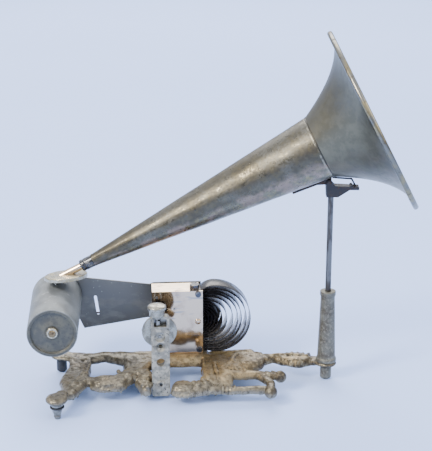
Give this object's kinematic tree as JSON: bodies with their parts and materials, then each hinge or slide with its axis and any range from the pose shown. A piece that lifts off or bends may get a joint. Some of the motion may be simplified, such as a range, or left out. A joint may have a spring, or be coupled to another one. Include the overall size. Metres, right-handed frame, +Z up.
{
  "type": "cylinder phonograph with horn",
  "caption": "Open-works spring phonograph: a belt-driven cylinder mandrel, a governor, a visible mainspring and a swinging conical horn on a column.",
  "frame": {"origin": "centre of the footprint, on the table", "axes": "+X towards the bell, +Y towards the back of the machine, +Z up"},
  "size_m": [0.3334, 0.1648, 0.3095],
  "materials": {
    "aged_nickel_horn": "aged nickel with yellow streaks and stains",
    "belt_leather": "round belting",
    "black_rubber": "matt black rubber",
    "blackened_steel": "dark slate finish with rubbed scuffs",
    "blued_spring_steel": "blued spring ribbon",
    "blued_steel": "dark blued steel",
    "diaphragm_glass": "thin clear disc",
    "dull_steel": "dull turned steel",
    "gasket_rubber": "grey-brown rubber",
    "grey_casting": "speckled grey-brown casting",
    "ivory_nickel": "nickel plate with an ivory cast",
    "mandrel_zinc": "matt blue-grey cast finish",
    "pad_leather": "brake leather",
    "polished_nickel": "bright nickel plate",
    "stylus_glass": "small ground point",
    "train_brass": "clock brass",
    "weight_lead": "bright governor weights",
    "worn_brass": "dull worn brass",
    "worn_bronze_paint": "bronze-gold paint, worn to grey casting along the edges"
  },
  "bodies": {
    "frame": {"base_casting": "worn_bronze_paint", "front_left_foot": "dull_steel", "front_foot_washer": "blackened_steel", "back_left_foot": "black_rubber", "right_foot": "grey_casting", "horn_column": "grey_casting", "motor_front_plate": "polished_nickel", "back_arm_plate": "blackened_steel", "plate_pillars": "dull_steel", "plate_screws": "blued_steel", "anchor_screw": "blued_steel", "spring_anchor_strip": "blued_steel", "mandrel_bearing": "dull_steel", "governor_pillar": "grey_casting", "pillar_screw": "blued_steel", "brake_guide": "dull_steel", "mainspring": "blued_spring_steel", "drive_belt": "belt_leather"},
    "great_wheel_body": {"great_wheel": "train_brass", "click_stud": "blued_steel", "click_spring": "blued_spring_steel"},
    "click_body": {"click": "blued_steel"},
    "winding_body": {"spring_arbor": "polished_nickel", "ratchet_wheel": "blued_steel", "winding_key": "dull_steel"},
    "second_body": {"second_arbor": "dull_steel", "second_wheel": "train_brass"},
    "drive_body": {"drive_arbor": "dull_steel", "drive_wheel": "train_brass", "drive_pulley": "train_brass"},
    "mandrel_body": {"mandrel": "mandrel_zinc", "mandrel_shaft": "dull_steel", "mandrel_nut": "worn_brass", "mandrel_pulley": "train_brass"},
    "governor_body": {"governor_spindle": "dull_steel", "governor_collar": "train_brass", "governor_springs": "blued_spring_steel", "governor_weights": "weight_lead", "governor_disc": "polished_nickel"},
    "regulator_body": {"regulator_knob": "polished_nickel", "regulator_cam": "dull_steel"},
    "brake_body": {"brake_plunger": "dull_steel", "brake_pad": "pad_leather"},
    "cradle_body": {"support_rod": "blued_steel", "cradle_head": "blackened_steel", "tilt_pin": "dull_steel"},
    "horn_body": {"horn_cone": "aged_nickel_horn", "horn_bell": "aged_nickel_horn", "horn_rim_bead": "worn_brass", "horn_bracket": "aged_nickel_horn", "horn_wire": "blued_steel", "horn_sleeve": "black_rubber", "sound_tube": "polished_nickel", "sound_box_shell": "ivory_nickel", "sound_box_ring": "polished_nickel", "diaphragm_gaskets": "gasket_rubber", "diaphragm": "diaphragm_glass", "stylus_bar": "dull_steel", "stylus": "stylus_glass"}
  },
  "joints": [
    {"name": "mandrel_spin", "type": "hinge", "parent": "frame", "child": "mandrel_body", "pos_m": [-0.14444, 0, 0.0672], "axis": [0, -1, 0], "continuous": true},
    {"name": "drive_spin", "type": "hinge", "parent": "frame", "child": "drive_body", "pos_m": [-0.04693, 0, 0.04962], "axis": [0, -1, 0], "continuous": true},
    {"name": "second_spin", "type": "hinge", "parent": "frame", "child": "second_body", "pos_m": [-0.04023, 0, 0.0636], "axis": [0, -1, 0], "continuous": true},
    {"name": "great_wheel_spin", "type": "hinge", "parent": "frame", "child": "great_wheel_body", "pos_m": [-0.01934, 0, 0.0508], "axis": [0, -1, 0], "continuous": true},
    {"name": "governor_spin", "type": "hinge", "parent": "frame", "child": "governor_body", "pos_m": [-0.05444, 0, 0.058], "axis": [0, -1, 0], "continuous": true},
    {"name": "winding", "type": "hinge", "parent": "great_wheel_body", "child": "winding_body", "pos_m": [-0.01934, 0, 0.0508], "axis": [0, 1, 0], "range_deg": [0, 2880]},
    {"name": "click_lift", "type": "hinge", "parent": "great_wheel_body", "child": "click_body", "pos_m": [-0.02226, 0, 0.06295], "axis": [0, -1, 0], "range_deg": [-6, 6], "stiffness_Nm_per_rad": 0.00001},
    {"name": "regulator_turn", "type": "hinge", "parent": "frame", "child": "regulator_body", "pos_m": [-0.05664, -0.02784, 0], "axis": [0, 0, 1], "range_deg": [-60, 60]},
    {"name": "brake_slide", "type": "slide", "parent": "frame", "child": "brake_body", "axis": [0, 1, 0], "range_m": [-0.00069, 0.00069]},
    {"name": "horn_swing", "type": "hinge", "parent": "frame", "child": "cradle_body", "pos_m": [0.09356, 0.00236, 0], "axis": [0, 0, 1], "range_deg": [-5.5, 13]},
    {"name": "horn_tilt", "type": "hinge", "parent": "cradle_body", "child": "horn_body", "pos_m": [0.09156, 0.0025, 0.183], "axis": [0.0698, 0.9976, 0], "range_deg": [0, 6]}
  ],
  "couplings": [
    {"joint": "drive_spin", "follows": "mandrel_spin", "ratio": 3.2727},
    {"joint": "second_spin", "follows": "mandrel_spin", "ratio": -0.62937},
    {"joint": "great_wheel_spin", "follows": "mandrel_spin", "ratio": 0.071519},
    {"joint": "governor_spin", "follows": "mandrel_spin", "ratio": -13.091},
    {"joint": "brake_slide", "follows": "regulator_turn", "m_per_rad": 0.00066159}
  ]
}
